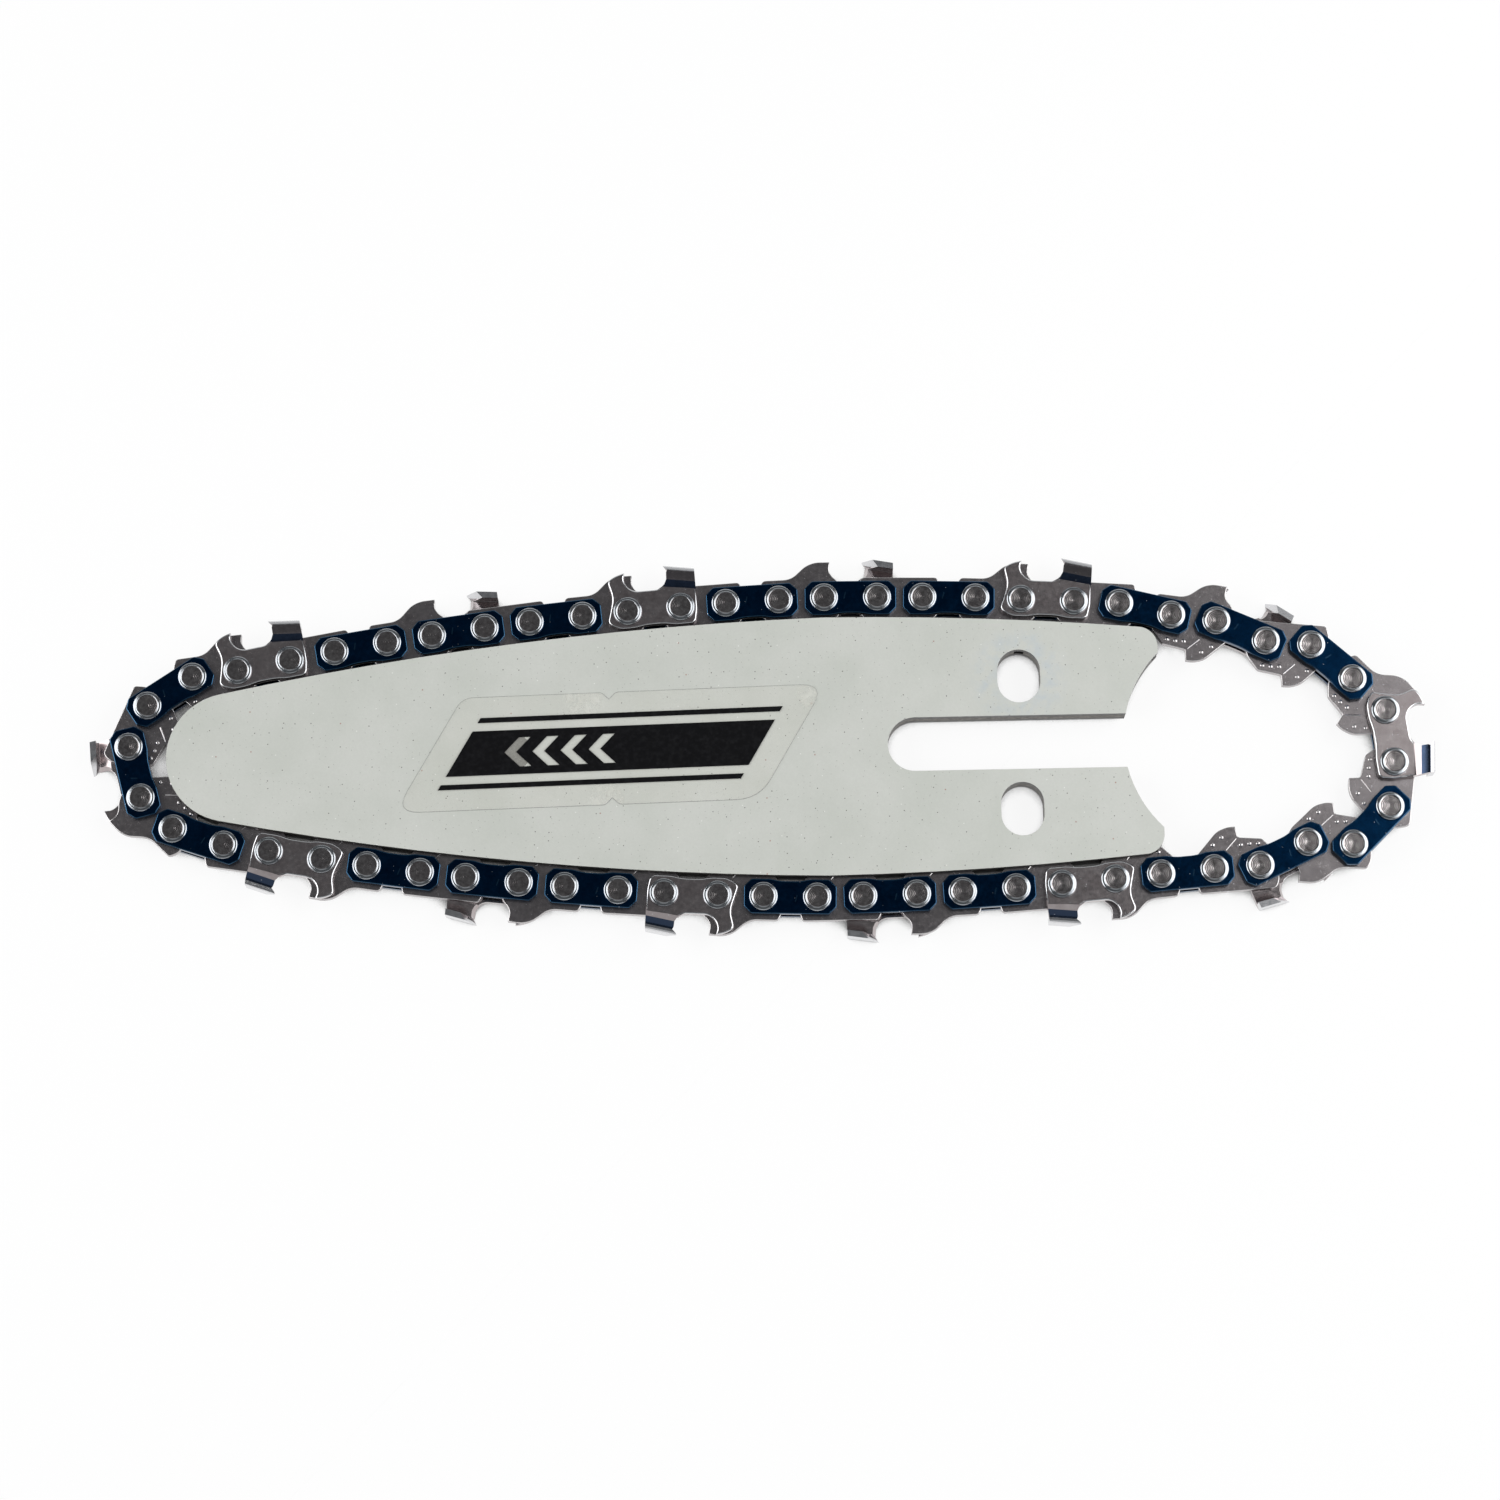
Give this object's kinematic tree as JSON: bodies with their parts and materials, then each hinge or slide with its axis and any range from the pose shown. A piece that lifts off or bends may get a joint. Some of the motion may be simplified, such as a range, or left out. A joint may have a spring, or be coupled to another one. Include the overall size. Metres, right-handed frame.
{
  "type": "guide bar with saw chain",
  "caption": "Laminated steel guide bar with a rounded nose, an open stud slot and two tensioner holes, carrying a loop of saw chain with left and right cutters.",
  "frame": {"origin": "midway between the two tensioner holes, at mid thickness of the bar", "axes": "+X along the bar to its drive end, +Y across the bar, +Z off the face that carries the label"},
  "size_m": [0.1726, 0.0501, 0.005],
  "materials": {
    "bar_paint": "satin pale grey enamel",
    "core_steel": "bare, dull",
    "clear_film": "clear glossy film",
    "label_ink": "printed black",
    "cutter_steel": "thin hard chrome over ground steel",
    "link_steel": "tumbled steel",
    "blued_steel": "heat blued, polished rivet heads"
  },
  "bodies": {
    "bar": {"bar_core_plate": "core_steel", "bar_side_plate_lower": "bar_paint", "bar_side_plate_upper": "bar_paint", "cutter_lower_04": "cutter_steel", "cutter_lower_08": "cutter_steel", "cutter_lower_20": "cutter_steel", "cutter_lower_24": "cutter_steel", "cutter_lower_28": "cutter_steel", "cutter_upper_02": "cutter_steel", "cutter_upper_06": "cutter_steel", "cutter_upper_10": "cutter_steel", "cutter_upper_18": "cutter_steel", "cutter_upper_22": "cutter_steel", "cutter_upper_26": "cutter_steel", "drive_link_01": "link_steel", "drive_link_02": "link_steel", "drive_link_03": "link_steel", "drive_link_04": "link_steel", "drive_link_05": "link_steel", "drive_link_06": "link_steel", "drive_link_07": "link_steel", "drive_link_08": "link_steel", "drive_link_09": "link_steel", "drive_link_10": "link_steel", "drive_link_17": "link_steel", "drive_link_18": "link_steel", "drive_link_19": "link_steel", "drive_link_20": "link_steel", "drive_link_21": "link_steel", "drive_link_22": "link_steel", "drive_link_23": "link_steel", "drive_link_24": "link_steel", "drive_link_25": "link_steel", "drive_link_26": "link_steel", "drive_link_27": "link_steel", "drive_link_28": "link_steel", "label_film": "clear_film", "label_print": "label_ink", "tie_straps_lower_bottom_run": "blued_steel", "tie_straps_lower_top_run": "blued_steel", "tie_straps_upper_bottom_run": "blued_steel", "tie_straps_upper_top_run": "blued_steel"},
    "upper_drive_1": {"drive_link_11": "link_steel"},
    "upper_sides_1": {"cutter_lower_12": "cutter_steel", "tie_strap_upper_12": "blued_steel"},
    "upper_drive_2": {"drive_link_12": "link_steel"},
    "upper_sides_2": {"tie_strap_lower_13": "blued_steel", "tie_strap_upper_13": "blued_steel"},
    "upper_drive_3": {"drive_link_13": "link_steel"},
    "end_sides": {"cutter_upper_14": "cutter_steel", "tie_strap_lower_14": "blued_steel"},
    "lower_drive_1": {"drive_link_16": "link_steel"},
    "lower_sides_1": {"cutter_lower_16": "cutter_steel", "tie_strap_upper_16": "blued_steel"},
    "lower_drive_2": {"drive_link_15": "link_steel"},
    "lower_sides_2": {"tie_strap_lower_15": "blued_steel", "tie_strap_upper_15": "blued_steel"},
    "lower_drive_3": {"drive_link_14": "link_steel"}
  },
  "joints": [
    {"name": "loop_sway", "type": "hinge", "parent": "bar", "child": "upper_drive_1", "pos_m": [0.01989, 0.01638, 0], "axis": [0, 0, 1], "range_deg": [-8, 8]},
    {"name": "upper_hinge_2", "type": "hinge", "parent": "upper_drive_1", "child": "upper_sides_1", "pos_m": [0.02567, 0.0155, 0], "axis": [0, 0, 1], "range_deg": [-2.84, 2.84]},
    {"name": "upper_hinge_3", "type": "hinge", "parent": "upper_sides_1", "child": "upper_drive_2", "pos_m": [0.03193, 0.0127, 0], "axis": [0, 0, 1], "range_deg": [-1.58, 1.58]},
    {"name": "upper_hinge_4", "type": "hinge", "parent": "upper_drive_2", "child": "upper_sides_2", "pos_m": [0.03774, 0.01207, 0], "axis": [0, 0, 1], "range_deg": [-3.68, 3.68]},
    {"name": "upper_hinge_5", "type": "hinge", "parent": "upper_sides_2", "child": "upper_drive_3", "pos_m": [0.04285, 0.00751, 0], "axis": [0, 0, 1], "range_deg": [-1.46, 1.46]},
    {"name": "upper_hinge_6", "type": "hinge", "parent": "upper_drive_3", "child": "end_sides", "pos_m": [0.04692, 0.0033, 0], "axis": [0, 0, 1], "range_deg": [-0.68, 0.68]},
    {"name": "lower_hinge_1", "type": "hinge", "parent": "bar", "child": "lower_drive_1", "pos_m": [0.02418, -0.01698, 0], "axis": [0, 0, 1], "range_deg": [-5.02, 5.02]},
    {"name": "lower_hinge_2", "type": "hinge", "parent": "lower_drive_1", "child": "lower_sides_1", "pos_m": [0.03002, -0.01664, 0], "axis": [0, 0, 1], "range_deg": [-1.09, 1.09]},
    {"name": "lower_hinge_3", "type": "hinge", "parent": "lower_sides_1", "child": "lower_drive_2", "pos_m": [0.03623, -0.01375, 0], "axis": [0, 0, 1], "range_deg": [-1.08, 1.08]},
    {"name": "lower_hinge_4", "type": "hinge", "parent": "lower_drive_2", "child": "lower_sides_2", "pos_m": [0.04207, -0.01411, 0], "axis": [0, 0, 1], "range_deg": [-5.75, 5.75]},
    {"name": "lower_hinge_5", "type": "hinge", "parent": "lower_sides_2", "child": "lower_drive_3", "pos_m": [0.04693, -0.00929, 0], "axis": [0, 0, 1], "range_deg": [-1.98, 1.98]}
  ],
  "couplings": [
    {"joint": "upper_hinge_2", "follows": "loop_sway", "ratio": -0.355},
    {"joint": "upper_hinge_3", "follows": "loop_sway", "ratio": -0.197},
    {"joint": "upper_hinge_4", "follows": "loop_sway", "ratio": -0.46},
    {"joint": "upper_hinge_5", "follows": "loop_sway", "ratio": -0.182},
    {"joint": "upper_hinge_6", "follows": "loop_sway", "ratio": -0.084},
    {"joint": "lower_hinge_1", "follows": "loop_sway", "ratio": 0.627},
    {"joint": "lower_hinge_2", "follows": "loop_sway", "ratio": 0.136},
    {"joint": "lower_hinge_3", "follows": "loop_sway", "ratio": -0.135},
    {"joint": "lower_hinge_4", "follows": "loop_sway", "ratio": -0.718},
    {"joint": "lower_hinge_5", "follows": "loop_sway", "ratio": -0.247}
  ]
}
